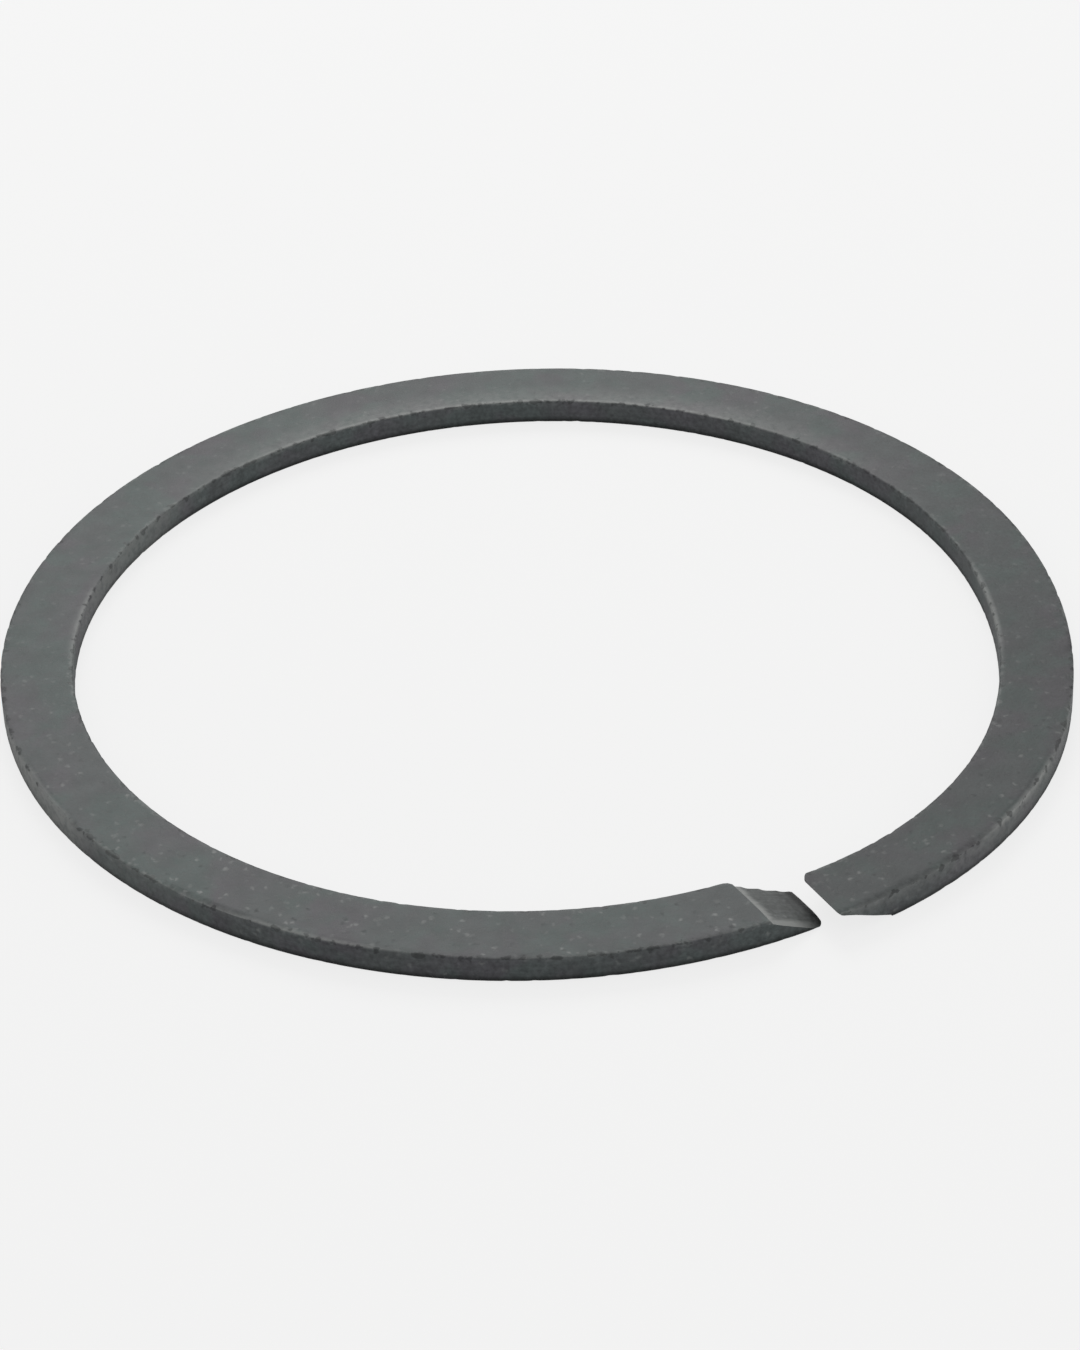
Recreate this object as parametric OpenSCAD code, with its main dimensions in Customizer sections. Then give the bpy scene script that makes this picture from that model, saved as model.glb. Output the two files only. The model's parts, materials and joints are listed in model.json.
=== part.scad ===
// Split backup ring: a flat ring of filled fluoropolymer that backs up an O-ring in its groove.
// It is one piece of plain rectangular section, cut through once on a slant (a scarf cut) so that
// it can be opened over a rod or into a bore. It is drawn free, as it lies on a bench: sprung a
// little wider than its groove, with the two cut ends apart and one of them bent outwards.
//
// The origin is on the bore's axis, in the plane of the lower face. Angles run anticlockwise
// from +X, as seen from above. Lengths are in millimetres and angles in degrees.

/* [Ring as made] */
// Bore diameter with the ring closed in its groove
closed_bore_d = 57.55; // [40:0.05:90]
// Radial width of the section
radial_w = 4.6; // [2.5:0.1:6]
// Thickness of the section, along the axis
thickness = 1.7; // [1:0.05:2.6]
// Width of the flat that breaks each of the four long edges, measured along either face
edge_break = 0.12; // [0.04:0.01:0.3]

/* [Scarf cut] */
// Slope of the cut, measured from the flat faces
scarf_angle = 24; // [18:1:45]
// Direction of the upward-facing end, at half its thickness
first_end_at = -64.2; // [-80:0.1:-50]
// Turn of the upward-facing cut away from the line to the ring's centre, as seen from above
first_end_skew = 3; // [0:0.5:7]
// Turn of the downward-facing cut away from the line to the tail's centre
second_end_skew = -3; // [-6:0.5:0]
// Radius of the worn corner at each thin tip: the outer one of the first end, the inner of the second
worn_corner_r = 0.9; // [0.3:0.1:1.5]

/* [Spring when free] */
// Growth of the bore when the ring is out of its groove
bore_growth = 0.85; // [0:0.05:2]
// Direction where the opened stretch begins
bend_from = 15; // [5:1:25]
// Angle that the opened stretch turns through
bend_turn = 28; // [5:1:40]
// How much flatter the opened stretch is, as extra radius
bend_slack = 6.3; // [0:0.1:10]
// How much tighter the tail beyond it is, as radius taken off
tail_curl = 3.6; // [0:0.1:6]

/* [Hidden] */
$fn = 360;

// The mean circle runs along the middle of the section.
free_bore_r = (closed_bore_d + bore_growth) / 2;
mean_r = free_bore_r + radial_w / 2;
bend_r = mean_r + bend_slack;
tail_r = mean_r - tail_curl;

// The ring keeps its length when it springs open, so the tail gets what the other arcs leave.
closed_length = PI * (closed_bore_d + radial_w);
main_turn = 360 + first_end_at - bend_from;
bend_to = bend_from - bend_turn;
tail_length = closed_length - arc_length(mean_r, main_turn) - arc_length(bend_r, bend_turn);
second_end_at = bend_to - turn_for(tail_r, tail_length);

// Each arc starts in the direction in which the one before it ends, so their centres line up there.
bend_centre = -bend_slack * direction(bend_from);
tail_centre = bend_centre + (bend_slack + tail_curl) * direction(bend_to);

// Neighbouring arcs overlap by this angle, so that they join as one solid
lap = 0.01;

// Each end is made long by the cut's whole run along the ring, and a block then trims it on the slant.
cut_run = thickness / tan(scarf_angle);
end_allowance = cut_run + radial_w * sin(max(abs(first_end_skew), abs(second_end_skew)));
cutter_length = 3 * thickness / sin(scarf_angle);
cutter_width = 2 * radial_w;
cutter_height = 3 * thickness;

// A worn corner's arc meets the tip's two sides at this angle
worn_corner_angle = 20;

function arc_length(r, angle) = PI * r * angle / 180;
function turn_for(r, length) = length / r * 180 / PI;
function direction(angle) = [cos(angle), sin(angle)];
// How far out in an end's own frame a wall of the bar is, at a given y
function wall_x(r, wall_r, y, skew) = sqrt(pow(wall_r, 2) - pow(y - r * sin(skew), 2)) - r * cos(skew);
function hundredths(x) = round(x * 100) / 100;

// Moves its children by whole hundredths of a millimetre and then by the small rest,
// so that arcs with different centres meet without a step
module set_at(centre) {
    coarse = [for (c = centre) hundredths(c)];
    translate(coarse)
        translate(centre - coarse)
            children();
}

// Rectangular section with broken edges, its mean line at the given radius
module section(r) {
    inner = r - radial_w / 2;
    outer = r + radial_w / 2;
    polygon([
        [inner + edge_break, 0], [outer - edge_break, 0],
        [outer, edge_break], [outer, thickness - edge_break],
        [outer - edge_break, thickness], [inner + edge_break, thickness],
        [inner, thickness - edge_break], [inner, edge_break]
    ]);
}

// Bar of the ring's section, bent to a radius, from one direction to another.
// Directions are kept to a hundredth of a degree.
module bar(r, from, to) {
    start = hundredths(from);
    rotate_extrude(angle = hundredths(to) - start, start = start)
        section(r);
}

// Puts its children at an end: on the section's mean line in the lower face, with +X outwards
// along the cut and +Y anticlockwise round the ring
module at_end(r, at, skew) {
    rotate([0, 0, at])
        translate([r, 0, 0])
            rotate([0, 0, skew])
                children();
}

// Everything on one side of the cut: above it for side = 1, below it for side = -1
module scarf_cutter(side) {
    translate([0, 0, thickness / 2])
        rotate([-scarf_angle, 0, 0])
            translate([0, 0, side * cutter_height / 2])
                cube([cutter_width, cutter_length, cutter_height], center = true);
}

// What is worn off a corner at the origin, where the sides run along +X and +Y
module corner_cutter() {
    inset = worn_corner_r * cos(worn_corner_angle);
    translate([inset, inset, thickness / 2])
        difference() {
            translate([-worn_corner_r, -worn_corner_r, 0])
                cube([2 * worn_corner_r, 2 * worn_corner_r, 2 * thickness], center = true);
            cylinder(r = worn_corner_r, h = 3 * thickness, center = true);
        }
}

// The ring's own circle, from the upward-facing end round to the opened stretch
module main_arc() {
    corner_x = wall_x(mean_r, mean_r + radial_w / 2, cut_run / 2, first_end_skew);
    difference() {
        bar(mean_r, bend_from - lap, 360 + first_end_at + turn_for(mean_r, end_allowance));
        at_end(mean_r, first_end_at, first_end_skew) {
            scarf_cutter(1);
            translate([corner_x, cut_run / 2, 0])
                rotate([0, 0, 180])
                    corner_cutter();
        }
    }
}

// The flatter stretch where the ring has been pulled open
module opened_stretch() {
    set_at(bend_centre)
        bar(bend_r, bend_to, bend_from);
}

// The free tail, which ends in the downward-facing cut
module tail_arc() {
    corner_x = wall_x(tail_r, tail_r - radial_w / 2, -cut_run / 2, second_end_skew);
    set_at(tail_centre)
        difference() {
            bar(tail_r, second_end_at - turn_for(tail_r, end_allowance), bend_to + lap);
            at_end(tail_r, second_end_at, second_end_skew) {
                scarf_cutter(-1);
                translate([corner_x, -cut_run / 2, 0])
                    corner_cutter();
            }
        }
}

module backup_ring() {
    color("#676b6b")
        union() {
            main_arc();
            opened_stretch();
            tail_arc();
        }
}

backup_ring();
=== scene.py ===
"""Looks for a scarf-cut backup ring: the ring itself, its finishes, and the stage it lies on."""

import json
import math

import bmesh
import bpy
from mathutils import Matrix, Vector, noise


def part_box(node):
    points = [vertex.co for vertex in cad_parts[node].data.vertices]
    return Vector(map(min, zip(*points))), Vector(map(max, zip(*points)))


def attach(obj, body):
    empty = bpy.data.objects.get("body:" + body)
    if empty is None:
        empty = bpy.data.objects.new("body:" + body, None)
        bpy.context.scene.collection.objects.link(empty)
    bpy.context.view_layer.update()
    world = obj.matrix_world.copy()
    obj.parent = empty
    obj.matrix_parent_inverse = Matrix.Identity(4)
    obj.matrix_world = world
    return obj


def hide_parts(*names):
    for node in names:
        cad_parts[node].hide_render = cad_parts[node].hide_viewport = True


bl_info = {
    "name": "Backup Ring",
    "version": (1, 0, 0),
    "blender": (4, 5, 0),
    "location": "View3D > Sidebar > Backup Ring",
    "description": "Models a scarf-cut backup ring of carbon-filled fluoropolymer and its stage",
    "category": "Add Mesh",
}

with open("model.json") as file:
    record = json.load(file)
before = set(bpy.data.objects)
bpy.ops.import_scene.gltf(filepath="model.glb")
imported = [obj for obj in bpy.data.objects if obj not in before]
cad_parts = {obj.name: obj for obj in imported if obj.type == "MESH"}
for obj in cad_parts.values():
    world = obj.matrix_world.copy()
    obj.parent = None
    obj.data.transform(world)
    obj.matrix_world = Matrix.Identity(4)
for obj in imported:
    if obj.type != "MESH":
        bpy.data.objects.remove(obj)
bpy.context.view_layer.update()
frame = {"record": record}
NODE = "backup_ring"
MM = 0.001
COARSE = 4  # facets that one step of a spin is divided into afterwards, which is much quicker
TOUCH = 1e-6  # metres within which two vertices are one
LEAST_FACES = 1000  # fewer than this and a cut has taken the ring away
CORNER_ANGLE = math.radians(20)  # at which a worn corner's arc meets the tip's two sides
END_REACH = 0.13  # radians past the first end's middle that the tail's thin tip may reach

LOW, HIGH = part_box(NODE)
MOUNTS = {mount["name"]: mount for mount in frame["record"]["mounts"]}
BORE_R = MOUNTS["bore"]["dims"]["r_mm"] * MM
OUTER_R = min(-LOW.x, -LOW.y, HIGH.y)
THICKNESS = HIGH.z - LOW.z


def linear(hex_colour):
    """Turns an sRGB hex colour into linear red, green and blue."""
    parts = [int(hex_colour[i:i + 2], 16) / 255 for i in (1, 3, 5)]
    return tuple(p / 12.92 if p <= 0.04045 else ((p + 0.055) / 1.055) ** 2.4 for p in parts)


def length(name, description, default):
    """A length held in metres."""
    return bpy.props.FloatProperty(name=name, description=description, default=default,
                                   subtype="DISTANCE", unit="LENGTH", precision=5)


def angle(name, description, degrees):
    """An angle held in radians and given in degrees."""
    return bpy.props.FloatProperty(name=name, description=description, default=math.radians(degrees),
                                   subtype="ANGLE", unit="ROTATION")


def colour(name, description, hex_colour):
    """A colour given as sRGB hex."""
    return bpy.props.FloatVectorProperty(name=name, description=description, default=linear(hex_colour),
                                         subtype="COLOR", size=3, min=0, max=1)


class RingSizes(bpy.types.PropertyGroup):
    """Sizes of the ring, free and lying flat."""
    bore_r: length("Bore radius", "Radius of the bore when free", BORE_R)
    radial_w: length("Radial width", "Width of the section, from bore to rim", OUTER_R - BORE_R)
    thickness: length("Thickness", "Height of the section", THICKNESS)
    bore_growth: length("Bore growth", "How much the bore grows out of its groove", 0.85 * MM)
    edge_round: length("Edge rounding", "Radius worn on the four long edges", 0.14 * MM)
    chip_depth: length("Nick depth", "Deepest nick in a long edge", 0.16 * MM)
    chip_length: length("Nick length", "Usual length of a nick", 0.7 * MM)
    chip_reach: length("Nick reach", "How far a nick reaches from its edge", 0.32 * MM)
    facet: length("Facet", "Length of one facet of the mesh along the ring", 0.25 * MM)
    scarf_angle: angle("Scarf angle", "Slope of the cut, measured from the flat faces", 24)
    first_end_at: angle("First end", "Direction of the upward-facing end", -64.2)
    first_end_skew: angle("First end's skew", "Turn of the upward-facing cut", 3)
    second_end_skew: angle("Second end's skew", "Turn of the downward-facing cut", -3)
    worn_corner_r: length("Worn corner", "Radius worn on one corner of each tip", 0.9 * MM)
    bend_from: angle("Bend from", "Direction where the opened stretch begins", 15)
    bend_turn: angle("Bend turn", "Angle that the opened stretch turns through", 28)
    bend_slack: length("Bend slack", "Extra radius of the opened stretch", 6.3 * MM)
    tail_curl: length("Tail curl", "Radius taken off the tail", 3.6 * MM)


class RingFinish(bpy.types.PropertyGroup):
    """Colours of the ring's three finishes."""
    face: colour("Faces", "Skived upper and lower faces", "#686c6c")
    face_warm: colour("Faces, warm patches", "Where more resin shows", "#6b6a6d")
    face_cool: colour("Faces, cool patches", "Where more carbon shows", "#666f6d")
    # Darker than the faces partly as the turned finish and partly as painted shade, for walls turned away
    # from the light
    wall: colour("Walls", "Turned inner and outer walls", "#5b5f60")
    wall_warm: colour("Walls, warm patches", "Where more resin shows", "#5c5c60")
    wall_cool: colour("Walls, cool patches", "Where more carbon shows", "#596060")
    cut: colour("Cut", "Knife-cut ends", "#6f7271")
    # Also the colour of painted highlights and painted light
    burnish_and_highlight: colour("Burnish", "Light marks where a tool has rubbed or torn the resin", "#a9aba9")
    carbon: colour("Carbon", "Dark specks of filler", "#3c4040")
    # Painted shade: how much darker the tail's faces are drawn, where less light falls on them
    tail_painted_shade: bpy.props.FloatProperty(name="Tail shade", description="Brightness of the tail's faces",
                                        default=0.75, min=0, max=1, subtype="FACTOR")


class StageSizes(bpy.types.PropertyGroup):
    """The floor, the backdrop colour and the lens."""
    floor_side: length("Floor", "Side of the square floor", 4.0)
    floor: colour("Floor colour", "Pale paper", "#f4f4f3")
    lens: bpy.props.FloatProperty(name="Lens", description="Focal length on a 36 mm sensor", default=115.94,
                                  subtype="DISTANCE_CAMERA", unit="CAMERA")


# ---------------------------------------------------------------- modelling by operators

def deselect_all():
    """Leaves edit mode and deselects every object, since an operator acts on all that is selected."""
    if bpy.context.object and bpy.context.object.mode != "OBJECT":
        bpy.ops.object.mode_set(mode="OBJECT")
    bpy.ops.object.select_all(action="DESELECT")


def make_active(piece):
    """Selects one object alone and makes it the active one."""
    deselect_all()
    piece.select_set(True)
    bpy.context.view_layer.objects.active = piece


def pick(piece, test, kind="verts"):
    """Selects, in edit mode, the vertices, edges or faces that pass a test, and nothing else."""
    bpy.ops.mesh.select_mode(type={"verts": "VERT", "edges": "EDGE", "faces": "FACE"}[kind])
    bpy.ops.mesh.select_all(action="DESELECT")
    mesh = bmesh.from_edit_mesh(piece.data)
    for item in getattr(mesh, kind):
        if test(item):
            item.select_set(True)
    mesh.select_flush_mode()
    bmesh.update_edit_mesh(piece.data)


def direction(turn):
    """Unit vector in the plane of the ring."""
    return Vector((math.cos(turn), math.sin(turn), 0))


def apply_modifier(piece, kind, settings):
    """Adds a modifier, gives it its settings and applies it."""
    make_active(piece)
    modifier = piece.modifiers.new(kind.title(), kind)
    for name, value in settings.items():
        setattr(modifier, name, value)
    bpy.ops.object.modifier_apply(modifier=modifier.name)


def cut_away(piece, cutter):
    """Takes a cutter's volume off a piece; the new faces keep the cutter's material."""
    apply_modifier(piece, "BOOLEAN", {"operation": "DIFFERENCE", "solver": "EXACT", "object": cutter,
                                      "material_mode": "TRANSFER"})
    bpy.data.objects.remove(cutter)


class Layout:
    """Places on the ring that follow from its sizes."""

    def __init__(self, sizes):
        self.width = sizes.radial_w
        self.height = sizes.thickness
        self.mean_r = sizes.bore_r + sizes.radial_w / 2
        self.bend_r = self.mean_r + sizes.bend_slack
        self.tail_r = self.mean_r - sizes.tail_curl
        self.bend_from = sizes.bend_from
        self.bend_to = sizes.bend_from - sizes.bend_turn
        self.first_end_at = sizes.first_end_at
        self.main_turn = 2 * math.pi + sizes.first_end_at - sizes.bend_from
        self.bend_centre = -sizes.bend_slack * direction(self.bend_from)
        self.tail_centre = self.bend_centre + (sizes.bend_slack + sizes.tail_curl) * direction(self.bend_to)
        closed = 2 * math.pi * (self.mean_r - sizes.bore_growth / 2)
        self.main_length = self.mean_r * self.main_turn
        self.bend_length = self.bend_r * sizes.bend_turn
        self.tail_length = closed - self.main_length - self.bend_length
        self.second_end_at = self.bend_to - self.tail_length / self.tail_r
        self.cut_run = self.height / math.tan(sizes.scarf_angle)
        # Each end is made this much too long, and is then cut on the slant
        self.spare = self.cut_run
        # Measured from the middle of the bar, both cuts start this far along
        self.middle = (self.main_length - self.bend_length - self.tail_length) / 2
        self.cut_start = (closed - self.cut_run) / 2

    def end_frame(self, centre, r, at, skew):
        """Axes at an end, on the section's mean line in the lower face: X outwards, Y anticlockwise."""
        return Matrix.Translation(centre + r * direction(at)) @ Matrix.Rotation(at + skew, 4, "Z")

    def strip_place(self, point):
        """Millimetres along the ring from the bend's start, outwards from the mean line, and up."""
        turn = math.atan2(point.y, point.x)
        if self.first_end_at - END_REACH < turn < self.bend_from and not self.on_main(point):
            flat = point.xy.to_3d() - self.bend_centre
            turn = math.atan2(flat.y, flat.x)
            if turn > self.bend_to:
                along = (turn - self.bend_from) * self.bend_r
                return Vector((along, flat.length - self.bend_r, point.z)) / MM
            flat = point.xy.to_3d() - self.tail_centre
            turn = math.atan2(flat.y, flat.x)
            along = (turn - self.bend_to) * self.tail_r - self.bend_length
            return Vector((along, flat.length - self.tail_r, point.z)) / MM
        turn = (turn - self.bend_from) % (2 * math.pi)
        return Vector((turn * self.mean_r, point.xy.length - self.mean_r, point.z)) / MM

    def on_main(self, point):
        """Whether a point near the split is on the first end's side of the gap."""
        middle = (self.end_frame(Vector(), self.mean_r, self.first_end_at, 0).translation
                  + self.end_frame(self.tail_centre, self.tail_r, self.second_end_at, 0).translation) / 2
        tangent = direction(self.first_end_at + math.pi / 2)
        lean = (self.height / 2 - point.z) * self.cut_run / self.height
        return (point - middle).dot(tangent) < lean and point.y < 0


def draw_section(sizes, at, finishes):
    """The ring's section as a flat outline standing where the bend starts, its corners rounded."""
    bpy.ops.mesh.primitive_plane_add(size=1, rotation=(math.pi / 2, 0, 0))
    piece = bpy.context.object
    piece.scale = (at.width, at.height, 1)
    bpy.ops.object.transform_apply(location=False, rotation=True, scale=True)
    bpy.ops.object.mode_set(mode="EDIT")
    bpy.ops.mesh.select_all(action="SELECT")
    bpy.ops.mesh.bevel(affect="VERTICES", offset=sizes.edge_round, segments=4, profile=0.5)
    bpy.ops.mesh.delete(type="ONLY_FACE")
    pick(piece, lambda e: abs(e.verts[0].co.x - e.verts[1].co.x) > at.width / 2, "edges")
    bpy.ops.mesh.subdivide(number_cuts=round(at.width / sizes.facet) - 1)
    pick(piece, lambda e: abs(e.verts[0].co.z - e.verts[1].co.z) > at.height / 2, "edges")
    bpy.ops.mesh.subdivide(number_cuts=round(at.height / sizes.facet) - 1)
    bpy.ops.object.mode_set(mode="OBJECT")
    for finish in finishes:
        piece.data.materials.append(finish)
    piece.location = at.mean_r * direction(at.bend_from) + Vector((0, 0, at.height / 2))
    piece.rotation_euler.z = at.bend_from
    bpy.ops.object.transform_apply(location=True, rotation=True, scale=True)
    return piece


def sweep(piece, sizes, at, arcs):
    """Spins the section along a list of arcs, closes both ends and divides the facets lengthwise."""
    bpy.ops.object.mode_set(mode="EDIT")
    bpy.ops.mesh.select_all(action="SELECT")
    for centre, r, turn in arcs:
        bpy.ops.mesh.spin(steps=round(abs(turn) * r / (COARSE * sizes.facet)), angle=-turn, center=centre,
                          axis=(0, 0, 1), use_auto_merge=False)
    bpy.ops.mesh.edge_face_add()
    pick_start(piece, at)
    bpy.ops.mesh.edge_face_add()
    pick(piece, lambda e: (e.verts[0].co - e.verts[1].co).length > (COARSE - 1) * sizes.facet, "edges")
    bpy.ops.mesh.subdivide(number_cuts=COARSE - 1)
    bpy.ops.mesh.select_all(action="SELECT")
    bpy.ops.mesh.normals_make_consistent(inside=False)
    bpy.ops.object.mode_set(mode="OBJECT")


def pick_start(piece, at):
    """Selects the section that stands where the bend starts."""
    across = direction(at.bend_from + math.pi / 2)
    pick(piece, lambda v: abs(v.co.dot(across)) < TOUCH and v.co.x > 0)


def join_at_start(main, tail, at):
    """Opens both parts where the bend starts and joins them there."""
    for part in (main, tail):
        make_active(part)
        bpy.ops.object.mode_set(mode="EDIT")
        pick_start(part, at)
        bpy.ops.mesh.delete(type="ONLY_FACE")
        bpy.ops.object.mode_set(mode="OBJECT")
    make_active(main)
    tail.select_set(True)
    bpy.ops.object.join()
    bpy.ops.object.mode_set(mode="EDIT")
    bpy.ops.mesh.select_all(action="SELECT")
    bpy.ops.mesh.remove_doubles(threshold=TOUCH)
    bpy.ops.mesh.normals_make_consistent(inside=False)
    bpy.ops.object.mode_set(mode="OBJECT")


# How far the knife strays from a flat cut, in millimetres. Down the slope it leaves a small step, a
# hollow and a blunt tip. Across the bar it falls away on both sides, and the more so towards the tip.
DOWN_SLOPE = ((-9.0, 0.08), (0.16, 0.08), (0.36, -0.06), (0.9, -0.05), (1.8, 0.0), (3.0, 0.05),
              (3.6, 0.11), (3.95, 0.15), (4.2, 0.12), (4.42, -0.12), (4.7, -0.6), (9.0, -1.0))
ACROSS = ((-9.0, -0.10), (-2.3, -0.08), (-1.2, -0.02), (-0.6, 0.0),
          (0.8, 0.0), (1.4, -0.04), (1.9, -0.12), (2.3, -0.20), (9.0, -0.30))
GROWTH = ((-9.0, 0.2), (0.0, 0.2), (1.2, 0.7), (3.2, 1.3), (4.3, 1.0), (9.0, 1.0))


def along_path(path, at):
    """Reads a path of straight stretches at one place."""
    for (x0, y0), (x1, y1) in zip(path, path[1:]):
        if at <= x1:
            return y0 + (y1 - y0) * (at - x0) / (x1 - x0)
    return path[-1][1]


def knife_stray(x, down, fall):
    """How far the knife is from a flat cut, outwards at x and down the slope, in millimetres."""
    # The bore's side is pared off along a line that nears the middle towards the tip
    pared = min(0.0, 1.4 * (x + 2.24 - 0.20 * down))
    return along_path(DOWN_SLOPE, down) + fall * (along_path(ACROSS, x) * along_path(GROWTH, down) + pared)


def knife(at, sizes, end, side, material, fall=1.0):
    """A block whose face is the knife's path: side 1 clears what is above the cut, -1 what is below."""
    run = at.height / math.sin(sizes.scarf_angle)
    bpy.ops.mesh.primitive_grid_add(x_subdivisions=30, y_subdivisions=80, size=1)
    block = bpy.context.object
    block.scale = (1.5 * at.width, 2 * run, 1)
    bpy.ops.object.transform_apply(location=False, rotation=False, scale=True)
    # The face is raised to the path's highest point and then let down by weight
    most, least = 0.2, -3.5
    path = block.vertex_groups.new(name="path")
    for vertex in block.data.vertices:
        stray = knife_stray(vertex.co.x / MM, (side * vertex.co.y + run / 2) / MM, fall)
        path.add([vertex.index], (most - stray) / (most - least), "REPLACE")
    apply_modifier(block, "DISPLACE", {"direction": "Z", "vertex_group": path.name, "mid_level": 0.0,
                                       "strength": side * (least - most) * MM})
    bpy.ops.object.mode_set(mode="EDIT")
    bpy.ops.mesh.select_all(action="SELECT")
    bpy.ops.transform.translate(value=(0, 0, side * most * MM))
    bpy.ops.mesh.extrude_region_move(TRANSFORM_OT_translate={"value": (0, 0, side * 3 * at.height)})
    bpy.ops.mesh.select_all(action="SELECT")
    bpy.ops.mesh.normals_make_consistent(inside=False)
    bpy.ops.object.mode_set(mode="OBJECT")
    block.data.transform(end @ Matrix.Translation((0, 0, at.height / 2))
                         @ Matrix.Rotation(-sizes.scarf_angle, 4, "X"))
    block.data.materials.append(material)
    return block


def corner_cutter(at, sizes, place, material):
    """What is worn off a tip's corner: a block with a round hollow, its corner at the given place."""
    r = sizes.worn_corner_r
    inset = r * math.cos(CORNER_ANGLE)
    bpy.ops.mesh.primitive_cube_add(size=1)
    block = bpy.context.object
    block.scale = (2 * r, 2 * r, 2 * at.height)
    block.location = (inset - r, inset - r, at.height / 2)
    bpy.ops.object.transform_apply(location=True, rotation=False, scale=True)
    bpy.ops.mesh.primitive_cylinder_add(vertices=72, radius=r, depth=3 * at.height,
                                        location=(inset, inset, at.height / 2))
    hollow = bpy.context.object
    bpy.ops.object.transform_apply(location=True, rotation=False, scale=False)
    cut_away(block, hollow)
    block.data.transform(place)
    block.data.materials.clear()
    block.data.materials.append(material)
    return block


def wall_x(r, wall_r, y, skew):
    """How far out in an end's own frame a wall of the bar is, at a given y."""
    return math.sqrt(wall_r ** 2 - (y - r * math.sin(skew)) ** 2) - r * math.cos(skew)


def lay_strip(piece, at):
    """Writes each vertex's place along, across and up the bar, in millimetres, for the finishes to follow."""
    strip = piece.data.attributes.new("strip", "FLOAT_VECTOR", "POINT")
    for vertex in piece.data.vertices:
        strip.data[vertex.index].vector = at.strip_place(vertex.co)


# Where the upper long edges are rubbed, and where light is painted. Each row gives the edge (-1 the bore's, 1
# the rim's), where the mark starts and stops (degrees round the ring), how far it reaches over the face and
# down the wall and how deep it goes (mm), and how light it leaves the resin. A row with depth is a rub, whose
# pale streak along the edge is partly a painted highlight. A row with no depth only lightens: it is painted
# light, over the far face and over whole stretches of wall that face the side lights.
PAINTED_LIGHT_AND_RUBS = (
    (-1, 24, 154, 2.70, 0.15, 0.00, 0.35),
    (-1, 38, 150, 0.55, 0.12, 0.04, 1.00),
    (-1, 138, 178, 0.15, 4.00, 0.00, 0.38),
    (-1, 162, 184, 0.50, 0.25, 0.05, 0.70),
    (-1, -10, 15, 0.36, 0.40, 0.05, 0.80),
    (1, -56, -6, 0.20, 2.20, 0.00, 0.38),
    (1, -44, -23, 0.28, 0.75, 0.10, 0.95),
    (1, -66, -38, 0.45, 1.30, 0.12, 0.30),
    (1, -59, -50, 0.60, 0.35, 0.15, 0.10),
    (1, -174, -138, 0.20, 4.00, 0.00, 0.62),
    (1, -190, -136, 0.20, 4.00, 0.00, 0.28),
    (1, -184, -120, 0.20, 4.00, 0.00, 0.20),
    (1, -163, -143, 0.26, 0.20, 0.08, 0.85),
    (1, -133, -118, 0.45, 0.25, 0.14, 0.30),
    (1, -130, -102, 0.32, 0.12, 0.05, 0.85),
    (1, -104, -62, 0.20, 0.10, 0.02, 0.50),
)


def smooth(x):
    """Eases from 0 to 1."""
    x = min(max(x, 0), 1)
    return x * x * (3 - 2 * x)


def rub_and_light_at(at, turn, across, up):
    """How light and how deep (mm) one place on the bar is rubbed; part of the lightness is painted light."""
    lightest = deepest = 0
    for side, start, stop, over, down, depth, lightness in PAINTED_LIGHT_AND_RUBS:
        inside = min((turn - start) % 360, (stop - turn) % 360)
        if inside < stop - start:
            from_edge = (max(at.width / 2 / MM - side * across, 0) / over
                         + max(at.height / MM - up, 0) / down)
            near = smooth(1 - from_edge) * smooth(inside / (0.3 * (stop - start)))
            lightest = max(lightest, lightness * near)
            deepest = max(deepest, depth * near)
    return lightest, deepest


def wear_edges_and_paint_light(piece, sizes, at):
    """Rubs the upper long edges and nicks all four, always inwards, as soft resin wears in handling, and
    stores how light each place is, which is partly painted light.
    """
    strip = piece.data.attributes["strip"].data
    reach, step = sizes.chip_reach / MM, sizes.chip_length / MM
    lights, depths = [], []
    for vertex in piece.data.vertices:
        along, across, up = strip[vertex.index].vector
        turn = math.atan2(vertex.co.y, vertex.co.x)
        light, depth = rub_and_light_at(at, math.degrees(turn), across, up)
        upper = up > at.height / 2 / MM
        from_edge = (max(at.width / 2 / MM - abs(across), 0)
                     + max(min(up, at.height / MM - up), 0))
        # Each edge has its own row of the noise
        row = math.copysign(40, across) + 20 * upper
        nick = smooth(noise.fractal(Vector((along / step, row, 0)), 1.0, 2.0, 2) / 0.8)
        # They come in patches some 8 mm long, and are fewer below
        nick *= (0.3 + 0.7 * smooth(0.5 + noise.noise(Vector((along / 8, row, 5))))) * (1 if upper else 0.35)
        # The outer edges are nicked most at the front of the ring, and the inner ones at the back
        nick *= 0.7 - 0.3 * math.sin(turn) * math.copysign(1, across)
        nick *= smooth(1 - from_edge / reach)
        lights.append(light)
        depths.append(max(depth, nick * sizes.chip_depth / MM))
    # Partly painted light: the lightness of the rows without depth, and of the edges' pale streaks
    piece.data.attributes.new("rub", "FLOAT", "POINT").data.foreach_set("value", lights)
    deepest = max(depths)
    worn = piece.vertex_groups.new(name="worn")
    for index, depth in enumerate(depths):
        if depth > 0:
            worn.add([index], depth / deepest, "REPLACE")
    apply_modifier(piece, "DISPLACE", {"vertex_group": worn.name, "direction": "NORMAL", "mid_level": 0.0,
                                       "strength": -deepest * MM})


# ---------------------------------------------------------------- finishes

# A pattern's scale is how often it repeats in a metre, so a size in millimetres divides this
PER_M = 1000
EASED = {"interpolation_type": "SMOOTHSTEP"}
RGBA = {"data_type": "RGBA"}


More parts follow.
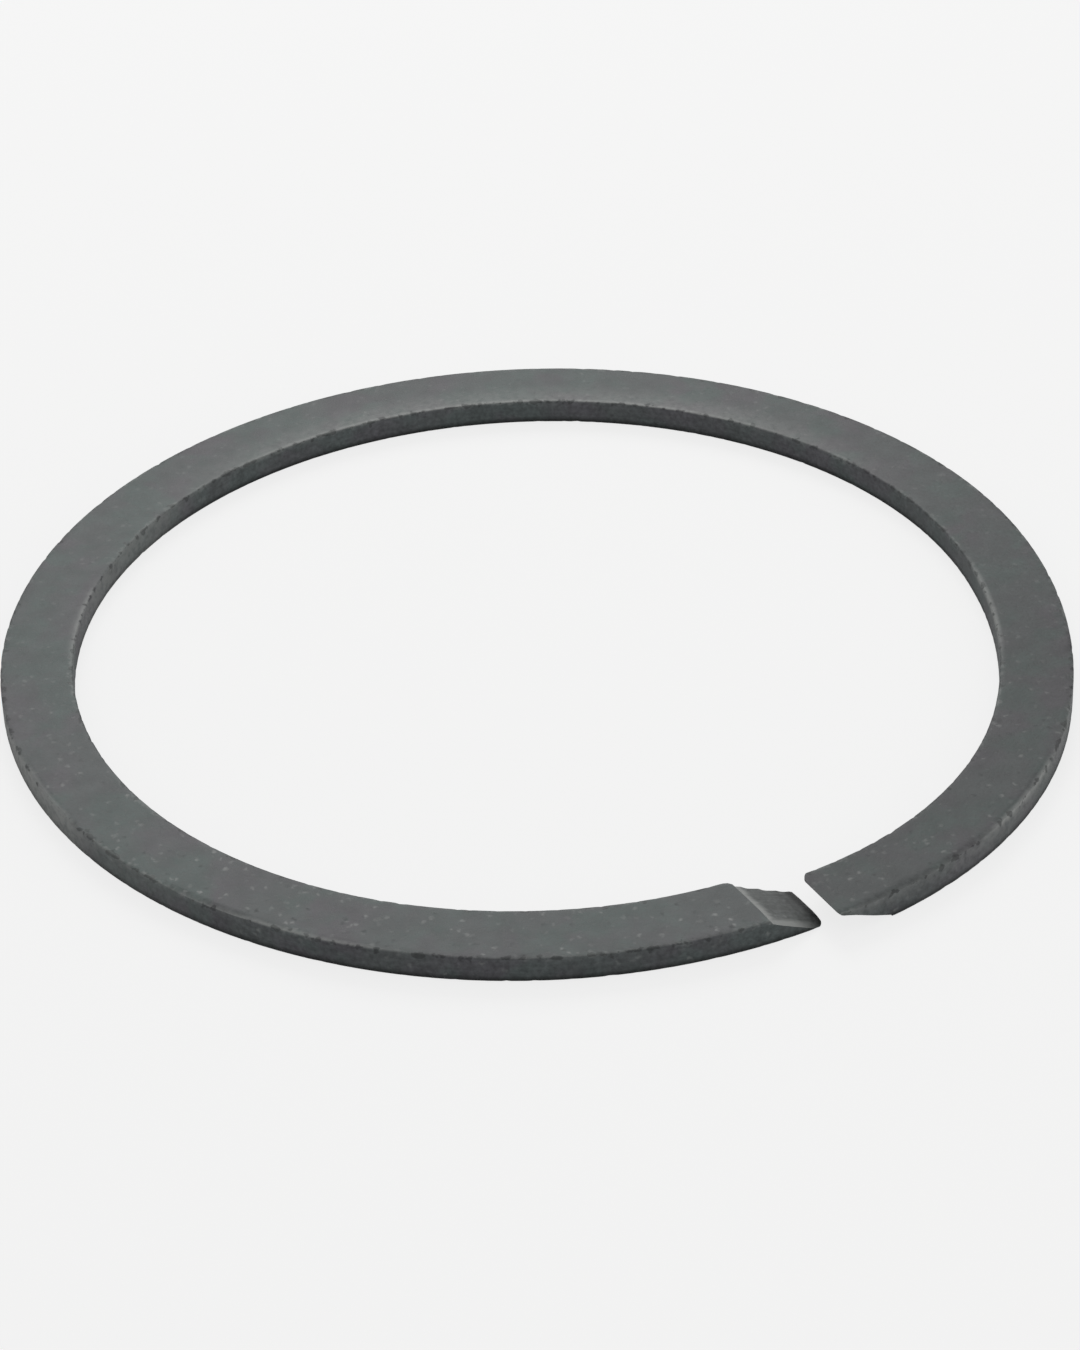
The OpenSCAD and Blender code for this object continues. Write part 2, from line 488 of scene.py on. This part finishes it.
def add_node(tree, kind, settings=None, inputs=None):
    """Adds a shader node with its settings, its constant inputs and its links."""
    made = tree.nodes.new("ShaderNode" + kind)
    for name, value in (settings or {}).items():
        setattr(made, name, value)
    for key, value in (inputs or {}).items():
        if isinstance(value, bpy.types.NodeSocket):
            tree.links.new(value, made.inputs[key])
        else:
            made.inputs[key].default_value = value
    return made


def new_material(name):
    """Starts a material with an empty node tree."""
    material = bpy.data.materials.new(name)
    material.use_nodes = True
    material.node_tree.nodes.clear()
    return material


def strip_places(tree, at):
    """Sockets for a place on the bar, in millimetres, and for how far it is from the upper long edges."""
    strip = add_node(tree, "Attribute", {"attribute_name": "strip"}).outputs["Vector"]
    split = add_node(tree, "SeparateXYZ", None, {0: strip}).outputs
    side = add_node(tree, "Math", {"operation": "ABSOLUTE"}, {0: split["Y"]}).outputs[0]
    from_wall = add_node(tree, "Math", {"operation": "SUBTRACT"}, {0: at.width / 2 / MM, 1: side}).outputs[0]
    from_top = add_node(tree, "Math", {"operation": "SUBTRACT"}, {
        0: at.height / MM, 1: split["Z"]}).outputs[0]
    edge = add_node(tree, "Math", {"operation": "ADD"}, {0: from_wall, 1: from_top}).outputs[0]
    return {"strip": strip, "along": split["X"], "across": split["Y"], "from_top": from_top, "edge": edge}


def filled_resin(tree, finish, base, warm_tint, cool_tint, flecks):
    """Colour and grain of the bulk: carbon in a waxy resin, mottled, with light flecks and dark specks."""
    place = add_node(tree, "TexCoord").outputs["Object"]
    # Patches 4 mm and 3 mm across, where the mix of resin and carbon drifts
    warm = add_node(tree, "TexNoise", None, {"Vector": place, "Scale": PER_M / 4, "Detail": 3.0}).outputs[0]
    warm = add_node(tree, "MapRange", None, {0: warm, 1: 0.44, 2: 0.60, 3: 0.0, 4: 1.0}).outputs[0]
    cool = add_node(tree, "TexNoise", None, {"Vector": place, "Scale": PER_M / 3, "Detail": 3.0}).outputs[0]
    cool = add_node(tree, "MapRange", None, {0: cool, 1: 0.46, 2: 0.60, 3: 0.0, 4: 1.0}).outputs[0]
    mixed = add_node(tree, "Mix", RGBA, {0: warm, 6: (*base, 1), 7: (*warm_tint, 1)}).outputs[2]
    mixed = add_node(tree, "Mix", RGBA, {0: cool, 6: mixed, 7: (*cool_tint, 1)}).outputs[2]
    # Filler grains are some 0.03 mm; drawn ten times as coarse so that they show
    grain = add_node(tree, "TexNoise", None, {
        "Vector": place, "Scale": PER_M / 0.3, "Detail": 2.0}).outputs[0]
    cloud = add_node(tree, "TexNoise", None, {
        "Vector": place, "Scale": PER_M / 1.4, "Detail": 2.0}).outputs[0]
    shade = add_node(tree, "MapRange", None, {0: grain, 1: 0.25, 2: 0.75, 3: 0.71, 4: 1.29}).outputs[0]
    drift = add_node(tree, "MapRange", None, {0: cloud, 1: 0.3, 2: 0.7, 3: 0.91, 4: 1.09}).outputs[0]
    shade = add_node(tree, "Math", {"operation": "MULTIPLY"}, {0: shade, 1: drift}).outputs[0]
    mixed = add_node(tree, "HueSaturation", None, {"Value": shade, "Color": mixed}).outputs[0]
    # Light flecks and dark specks some 1 mm apart, 0.1 to 0.3 mm across, of uneven shape and in patches
    stray = add_node(tree, "TexNoise", None, {
        "Vector": place, "Scale": PER_M / 0.35, "Detail": 1.0}).outputs["Color"]
    stray = add_node(tree, "VectorMath", {"operation": "MULTIPLY_ADD"}, {
        0: stray, 1: (0.45 * MM,) * 3, 2: place}).outputs[0]
    patch = add_node(tree, "MapRange", None, {
        0: cloud, 1: 0.38, 2: 0.62, 3: 0.16 * flecks, 4: 0.66 * flecks}).outputs[0]
    # They are plain to see at the front of the ring and faint at the back
    back = add_node(tree, "SeparateXYZ", None, {0: place}).outputs["Y"]
    back = add_node(tree, "MapRange", None, {0: back, 1: -20 * MM, 2: 2 * MM, 3: 1.0, 4: 0.40}).outputs[0]
    patch = add_node(tree, "Math", {"operation": "MULTIPLY"}, {0: patch, 1: back}).outputs[0]
    for spacing, size, share, tint in ((0.66, 0.20, 0.42, finish.burnish_and_highlight), (0.80, 0.19, 0.50, finish.carbon)):
        cells = add_node(tree, "TexVoronoi", None, {"Vector": stray, "Scale": PER_M / spacing}).outputs
        pick_some = add_node(tree, "Math", {"operation": "GREATER_THAN"}, {
            0: cells["Color"], 1: share}).outputs[0]
        near = add_node(tree, "MapRange", EASED, {
            0: cells["Distance"], 1: 0.2 * size, 2: 1.7 * size, 3: patch, 4: 0.0}).outputs[0]
        spot = add_node(tree, "Math", {"operation": "MULTIPLY"}, {0: pick_some, 1: near}).outputs[0]
        mixed = add_node(tree, "Mix", RGBA, {0: spot, 6: mixed, 7: (*tint, 1)}).outputs[2]
    return mixed, grain, place


def worn_edge_and_painted_light(tree, colour, edge, place, finish, strength):
    """Lightens the rubs and, in ragged patches, the upper long edges, partly where the turning tool tore the
    resin and partly as painted highlight; it also paints a dark shade along them.
    """
    rag = add_node(tree, "TexNoise", None, {"Vector": place, "Scale": PER_M / 0.45, "Detail": 2.0}).outputs[0]
    shift = add_node(tree, "MapRange", None, {0: rag, 1: 0.3, 2: 0.7, 3: -0.2, 4: 0.2}).outputs[0]
    edge = add_node(tree, "Math", {"operation": "ADD"}, {0: edge, 1: shift}).outputs[0]
    # Partly torn resin, partly a painted highlight: a light rim along the upper long edges
    worn = add_node(tree, "MapRange", EASED, {
        0: edge, 1: 0.0, 2: 0.30, 3: strength, 4: 0.0}).outputs[0]
    patch = add_node(tree, "TexNoise", None, {"Vector": place, "Scale": PER_M / 3, "Detail": 3.0}).outputs[0]
    patch = add_node(tree, "MapRange", None, {0: patch, 1: 0.42, 2: 0.60, 3: 0.0, 4: 1.0}).outputs[0]
    worn = add_node(tree, "Math", {"operation": "MULTIPLY"}, {0: worn, 1: patch}).outputs[0]
    colour = add_node(tree, "Mix", RGBA, {0: worn, 6: colour, 7: (*finish.burnish_and_highlight, 1)}).outputs[2]
    # Painted shade: a ragged dark border bites into the edge, standing in for the nicks' shadow
    bite_shade = add_node(tree, "TexNoise", None, {"Vector": place, "Scale": PER_M / 0.8, "Detail": 3.0}).outputs[0]
    bite_shade = add_node(tree, "MapRange", None, {0: bite_shade, 1: 0.38, 2: 0.70, 3: -0.15, 4: 0.34}).outputs[0]
    bite_shade = add_node(tree, "Math", {"operation": "SUBTRACT"}, {0: edge, 1: bite_shade}).outputs[0]
    bite_shade = add_node(tree, "MapRange", EASED, {
        0: bite_shade, 1: -0.06, 2: 0.06, 3: 0.60, 4: 1.0}).outputs[0]
    colour = add_node(tree, "HueSaturation", None, {"Value": bite_shade, "Color": colour}).outputs[0]
    # Rubbed places are lightest of all, and a little broken; part of this lightness is painted light
    rub = add_node(tree, "Attribute", {"attribute_name": "rub"}).outputs["Fac"]
    broken = add_node(tree, "MapRange", None, {0: rag, 1: 0.32, 2: 0.55, 3: 0.45, 4: 1.0}).outputs[0]
    rub = add_node(tree, "Math", {"operation": "MULTIPLY"}, {0: rub, 1: broken}).outputs[0]
    bite_shade = add_node(tree, "MapRange", None, {0: bite_shade, 1: 0.6, 2: 1.0, 3: 0.35, 4: 1.0}).outputs[0]
    rub = add_node(tree, "Math", {"operation": "MULTIPLY"}, {0: rub, 1: bite_shade}).outputs[0]
    return add_node(tree, "Mix", RGBA, {0: rub, 6: colour, 7: (*finish.burnish_and_highlight, 1)}).outputs[2]


def finish_off(tree, colour, height, grain, depth, rough):
    """Joins colour, bump and roughness in the shader: low sheen, as the resin's index is only 1.36."""
    bump = add_node(tree, "Bump", None, {
        "Strength": 1.0, "Distance": depth * MM, "Height": height}).outputs[0]
    rough = add_node(tree, "MapRange", None, {
        0: grain, 1: 0.3, 2: 0.7, 3: rough - 0.06, 4: rough + 0.1}).outputs[0]
    shader = add_node(tree, "BsdfPrincipled", None, {
        "Base Color": colour, "Roughness": rough, "IOR": 1.36, "Normal": bump}).outputs[0]
    add_node(tree, "OutputMaterial", None, {"Surface": shader})


def skived_face(at, finish):
    """Carbon-filled fluoropolymer skived to thickness: matt and waxy, mottled, faintly grained."""
    material = new_material("Carbon-filled fluoropolymer, skived face")
    tree = material.node_tree
    strip = strip_places(tree, at)
    colour, grain, place = filled_resin(tree, finish, finish.face, finish.face_warm, finish.face_cool, 1.0)
    # Painted shade: the tail is darker than the rest, over some 40 mm, where less light falls on it
    tail = add_node(tree, "MapRange", None, {
        0: strip["along"], 1: -12.0, 2: 34.0, 3: finish.tail_painted_shade, 4: 1.0}).outputs[0]
    colour = add_node(tree, "HueSaturation", None, {"Value": tail, "Color": colour}).outputs[0]
    colour = worn_edge_and_painted_light(tree, colour, strip["edge"], place, finish, 0.40)
    finish_off(tree, colour, grain, grain, 0.016, 0.5)
    return material


def turned_wall(at, finish):
    """The same resin turned on a lathe: closer, with fine lines that run round the ring, and darker, partly
    as its own finish and partly as painted shade.
    """
    material = new_material("Carbon-filled fluoropolymer, turned wall")
    tree = material.node_tree
    strip = strip_places(tree, at)
    colour, grain, place = filled_resin(tree, finish, finish.wall, finish.wall_warm, finish.wall_cool, 0.4)
    # Feed lines 0.15 mm apart, each some 7 mm long before it fades
    lines = add_node(tree, "VectorMath", {"operation": "MULTIPLY"}, {
        0: strip["strip"], 1: (0.15, 0.0, 6.5)}).outputs[0]
    lines = add_node(tree, "TexNoise", None, {"Vector": lines, "Scale": 1.0, "Detail": 2.0}).outputs[0]
    shade = add_node(tree, "MapRange", None, {0: lines, 1: 0.3, 2: 0.7, 3: 0.93, 4: 1.07}).outputs[0]
    colour = add_node(tree, "HueSaturation", None, {"Value": shade, "Color": colour}).outputs[0]
    # Painted shadow: the lower edge is darkest, where the ring meets the floor
    low = add_node(tree, "MapRange", EASED, {
        0: strip["from_top"], 1: at.height / MM - 0.55, 2: at.height / MM - 0.10, 3: 1.0, 4: 0.30}).outputs[0]
    colour = add_node(tree, "HueSaturation", None, {"Value": low, "Color": colour}).outputs[0]
    colour = worn_edge_and_painted_light(tree, colour, strip["edge"], place, finish, 0.25)
    height = add_node(tree, "Math", {"operation": "ADD"}, {0: lines, 1: grain}).outputs[0]
    finish_off(tree, colour, height, grain, 0.014, 0.46)
    return material


def knife_cut(at, finish):
    """The same resin cut with a knife: smoother, with drag lines, light burnishes by the blade that are
    partly painted highlight, and a tip darkened by painted shade.
    """
    material = new_material("Carbon-filled fluoropolymer, knife cut")
    tree = material.node_tree
    strip = strip_places(tree, at)
    colour, grain, _ = filled_resin(tree, finish, finish.cut, finish.cut, finish.cut, 0.5)
    # Drag lines 0.25 mm apart that run down the slope
    lines = add_node(tree, "VectorMath", {"operation": "MULTIPLY"}, {
        0: strip["strip"], 1: (0.5, 4.0, 0.0)}).outputs[0]
    lines = add_node(tree, "TexNoise", None, {"Vector": lines, "Scale": 1.0, "Detail": 2.0}).outputs[0]
    shade = add_node(tree, "MapRange", None, {0: lines, 1: 0.3, 2: 0.7, 3: 0.9, 4: 1.1}).outputs[0]
    colour = add_node(tree, "HueSaturation", None, {"Value": shade, "Color": colour}).outputs[0]
    # How far the blade has gone, from the upper face's edge to the tip
    gone = add_node(tree, "Math", {"operation": "SUBTRACT"}, {
        0: strip["along"], 1: at.middle / MM}).outputs[0]
    gone = add_node(tree, "Math", {"operation": "ABSOLUTE"}, {0: gone}).outputs[0]
    gone = add_node(tree, "Math", {"operation": "MULTIPLY_ADD"}, {
        0: strip["across"], 1: -0.052, 2: gone}).outputs[0]
    gone = add_node(tree, "Math", {"operation": "SUBTRACT"}, {0: gone, 1: at.cut_start / MM}).outputs[0]
    # A burnish where the blade went in, after a dark line: partly resin whitened by the blade, partly a
    # painted sheen where the smooth cut reflects the light
    ragged = add_node(tree, "MapRange", None, {0: lines, 1: 0.3, 2: 0.7, 3: -0.15, 4: 0.15}).outputs[0]
    depth = add_node(tree, "Math", {"operation": "ADD"}, {0: gone, 1: ragged}).outputs[0]
    lit = add_node(tree, "MapRange", EASED, {
        0: depth, 1: 0.40, 2: 0.90, 3: 1.0, 4: 0.0}).outputs[0]
    entry = add_node(tree, "MapRange", None, {0: gone, 1: 0.10, 2: 0.24, 3: 0.0, 4: 1.0}).outputs[0]
    # A painted highlight along the rim's side, where the cut's edge catches the light, which fades towards
    # the tip
    from_rim = add_node(tree, "Math", {"operation": "SUBTRACT"}, {
        0: at.width / 2 / MM, 1: strip["across"]}).outputs[0]
    from_rim = add_node(tree, "Math", {"operation": "ADD"}, {0: from_rim, 1: ragged}).outputs[0]
    rim = add_node(tree, "MapRange", EASED, {
        0: from_rim, 1: 0.30, 2: 0.80, 3: 0.85, 4: 0.0}).outputs[0]
    fade = add_node(tree, "MapRange", None, {0: gone, 1: 1.8, 2: 3.1, 3: 1.0, 4: 0.0}).outputs[0]
    rim = add_node(tree, "Math", {"operation": "MULTIPLY"}, {0: rim, 1: fade}).outputs[0]
    lit = add_node(tree, "Math", {"operation": "MAXIMUM"}, {0: lit, 1: rim}).outputs[0]
    lit = add_node(tree, "Math", {"operation": "MULTIPLY"}, {0: lit, 1: entry}).outputs[0]
    # Painted shade: the thin tip is darker, and darkest at its very edge
    tip = add_node(tree, "MapRange", EASED, {
        0: gone, 1: 2.3, 2: 3.0, 3: 1.0, 4: 0.76}).outputs[0]
    tip_edge_shade = add_node(tree, "MapRange", EASED, {
        0: gone, 1: 3.05, 2: 3.60, 3: 1.0, 4: 0.3}).outputs[0]
    tip = add_node(tree, "Math", {"operation": "MULTIPLY"}, {0: tip, 1: tip_edge_shade}).outputs[0]
    colour = add_node(tree, "HueSaturation", None, {"Value": tip, "Color": colour}).outputs[0]
    colour = add_node(tree, "Mix", RGBA, {0: lit, 6: colour, 7: (*finish.burnish_and_highlight, 1)}).outputs[2]
    height = add_node(tree, "Math", {"operation": "MULTIPLY_ADD"}, {0: lines, 1: 2.0, 2: grain}).outputs[0]
    finish_off(tree, colour, height, grain, 0.010, 0.40)
    return material


class BACKUPRING_OT_ring(bpy.types.Operator):
    """Model the ring by spinning its section, then make the two scarf cuts with a knife"""
    bl_idname = "mesh.backup_ring_add"
    bl_label = "Backup Ring"
    bl_options = {"REGISTER", "UNDO"}

    def execute(self, context):
        sizes = context.scene.backup_ring_sizes
        finish = context.scene.backup_ring_finish
        at = Layout(sizes)
        face, wall, cut = skived_face(at, finish), turned_wall(at, finish), knife_cut(at, finish)
        deselect_all()
        tail = draw_section(sizes, at, (face, wall, cut))
        sweep(tail, sizes, at, ((at.bend_centre, at.bend_r, at.bend_to - at.bend_from),
                                (at.tail_centre, at.tail_r, -(at.tail_length + at.spare) / at.tail_r)))
        end = at.end_frame(at.tail_centre, at.tail_r, at.second_end_at, sizes.second_end_skew)
        x = wall_x(at.tail_r, at.tail_r - at.width / 2, -at.cut_run / 2, sizes.second_end_skew)
        cut_away(tail, corner_cutter(at, sizes, end @ Matrix.Translation((x, -at.cut_run / 2, 0)), cut))
        cut_away(tail, knife(at, sizes, end, -1, cut, fall=0.0))

        deselect_all()
        piece = draw_section(sizes, at, (face, wall, cut))
        piece.name = piece.data.name = "ring_dressed"
        sweep(piece, sizes, at, ((Vector(), at.mean_r, at.main_turn + at.spare / at.mean_r),))
        end = at.end_frame(Vector(), at.mean_r, at.first_end_at, sizes.first_end_skew)
        x = wall_x(at.mean_r, at.mean_r + at.width / 2, at.cut_run / 2, sizes.first_end_skew)
        place = end @ Matrix.Translation((x, at.cut_run / 2, 0)) @ Matrix.Rotation(math.pi, 4, "Z")
        cut_away(piece, corner_cutter(at, sizes, place, cut))
        cut_away(piece, knife(at, sizes, end, 1, cut))
        join_at_start(piece, tail, at)
        make_active(piece)
        bpy.ops.object.mode_set(mode="EDIT")
        pick(piece, lambda f: f.material_index == 0 and abs(f.normal.z) < 0.7, "faces")
        piece.active_material_index = 1
        bpy.ops.object.material_slot_assign()
        pick(piece, lambda f: f.material_index == 2, "faces")
        bpy.ops.mesh.region_to_loop()
        bpy.ops.mesh.mark_sharp()
        bpy.ops.object.mode_set(mode="OBJECT")
        lay_strip(piece, at)
        wear_edges_and_paint_light(piece, sizes, at)
        make_active(piece)
        bpy.ops.object.shade_smooth_by_angle(angle=math.radians(23))
        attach(piece, "root")
        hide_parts(NODE)
        if len(piece.data.polygons) < LEAST_FACES:
            raise RuntimeError("the ring's mesh is too small: a cut has failed")
        return {"FINISHED"}


class BACKUPRING_OT_stage(bpy.types.Operator):
    """Lay the pale floor, set the soft lights and place the camera"""
    bl_idname = "scene.backup_ring_stage_add"
    bl_label = "Stage"
    bl_options = {"REGISTER", "UNDO"}

    def execute(self, context):
        stage = context.scene.backup_ring_stage
        deselect_all()
        # A hair below the ring's lower face, so that the two never lie in one plane
        bpy.ops.mesh.primitive_plane_add(size=stage.floor_side, location=(0, 0, -0.02 * MM))
        floor = context.object
        floor.name = floor.data.name = "floor"
        material = new_material("Matt paper")
        tree = material.node_tree
        # To the camera the paper is mostly the backdrop's white, and the rest keeps the ring's shadow
        white_share = 0.78
        ray = add_node(tree, "LightPath").outputs["Is Camera Ray"]
        seen = add_node(tree, "Math", {"operation": "MULTIPLY"}, {0: ray, 1: white_share}).outputs[0]
        paper = add_node(tree, "BsdfDiffuse", None, {"Color": (*stage.floor, 1)}).outputs[0]
        white = add_node(tree, "Emission", None, {"Color": (1, 1, 1, 1), "Strength": 1}).outputs[0]
        mixed = add_node(tree, "MixShader", None, {0: seen, 1: paper, 2: white}).outputs[0]
        add_node(tree, "OutputMaterial", None, {"Surface": mixed})
        floor.data.materials.append(material)

        # The two low lights are gridded, so that they light no bright pool on the floor beneath them
        for name, place, power, spread in (
                ("Soft light, back", (-0.02, 0.305, 0.257), 0.46, 180),
                ("Soft light, right", (0.367, -0.134, 0.083), 0.075, 120),
                ("Soft light, left", (-0.39, 0.0, 0.083), 0.013, 120)):
            data = bpy.data.lights.new(name, "AREA")
            data.energy = power
            data.size = 0.20
            data.spread = math.radians(spread)
            lamp = bpy.data.objects.new(name, data)
            lamp.matrix_world = (Matrix.Translation(place)
                                 @ Vector(place).to_track_quat("Z", "Y").to_matrix().to_4x4())
            context.scene.collection.objects.link(lamp)

        world = bpy.data.worlds.new("Studio")
        world.use_nodes = True
        tree = world.node_tree
        tree.nodes.clear()
        ray = add_node(tree, "LightPath").outputs["Is Camera Ray"]
        dim = add_node(tree, "Background", None, {"Color": (1, 1, 1, 1), "Strength": 0.40}).outputs[0]
        white = add_node(tree, "Background", None, {"Color": (1, 1, 1, 1), "Strength": 1.0}).outputs[0]
        mixed = add_node(tree, "MixShader", None, {0: ray, 1: dim, 2: white}).outputs[0]
        add_node(tree, "OutputWorld", None, {"Surface": mixed})
        context.scene.world = world

        data = bpy.data.cameras.new("Camera")
        data.lens = stage.lens
        data.sensor_width = 36
        data.clip_start = 0.01
        camera = bpy.data.objects.new("Camera", data)
        tilt, roll = math.radians(33.93), math.radians(2.07)
        # Where the middle of the upper face lies in the camera's own axes
        offset = Vector((-0.490, 2.657, 276.8)) * MM
        view = Matrix(((1, 0, 0), (0, math.sin(tilt), math.cos(tilt)), (0, math.cos(tilt), -math.sin(tilt))))
        turn = Matrix(((math.cos(roll), -math.sin(roll), 0), (math.sin(roll), math.cos(roll), 0), (0, 0, 1)))
        rows = turn @ view
        place = -(rows.transposed() @ offset) + Vector((0, 0, THICKNESS))
        axes = Matrix((rows[0], rows[1], -rows[2])).transposed()
        camera.matrix_world = Matrix.Translation(place) @ axes.to_4x4()
        context.scene.collection.objects.link(camera)
        context.scene.camera = camera
        context.scene.view_settings.view_transform = "Standard"
        return {"FINISHED"}


class BACKUPRING_PT_panel(bpy.types.Panel):
    """Lists what the add-on makes"""
    bl_idname = "BACKUPRING_PT_panel"
    bl_label = "Backup Ring"
    bl_space_type = "VIEW_3D"
    bl_region_type = "UI"
    bl_category = "Backup Ring"

    def draw(self, context):
        for kind in OPERATORS:
            self.layout.operator(kind.bl_idname)
        for group in GROUPS:
            box = self.layout.box()
            values = getattr(context.scene, group)
            for name in GROUPS[group].__annotations__:
                box.prop(values, name)


OPERATORS = (BACKUPRING_OT_ring, BACKUPRING_OT_stage)
GROUPS = {"backup_ring_sizes": RingSizes, "backup_ring_finish": RingFinish, "backup_ring_stage": StageSizes}
CLASSES = (*GROUPS.values(), *OPERATORS, BACKUPRING_PT_panel)


def register():
    for kind in CLASSES:
        bpy.utils.register_class(kind)
    for name, kind in GROUPS.items():
        setattr(bpy.types.Scene, name, bpy.props.PointerProperty(type=kind))


def unregister():
    for name in GROUPS:
        delattr(bpy.types.Scene, name)
    for kind in reversed(CLASSES):
        bpy.utils.unregister_class(kind)


def main():
    register()
    bpy.ops.mesh.backup_ring_add()
    bpy.ops.scene.backup_ring_stage_add()
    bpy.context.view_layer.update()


if __name__ == "__main__":
    main()
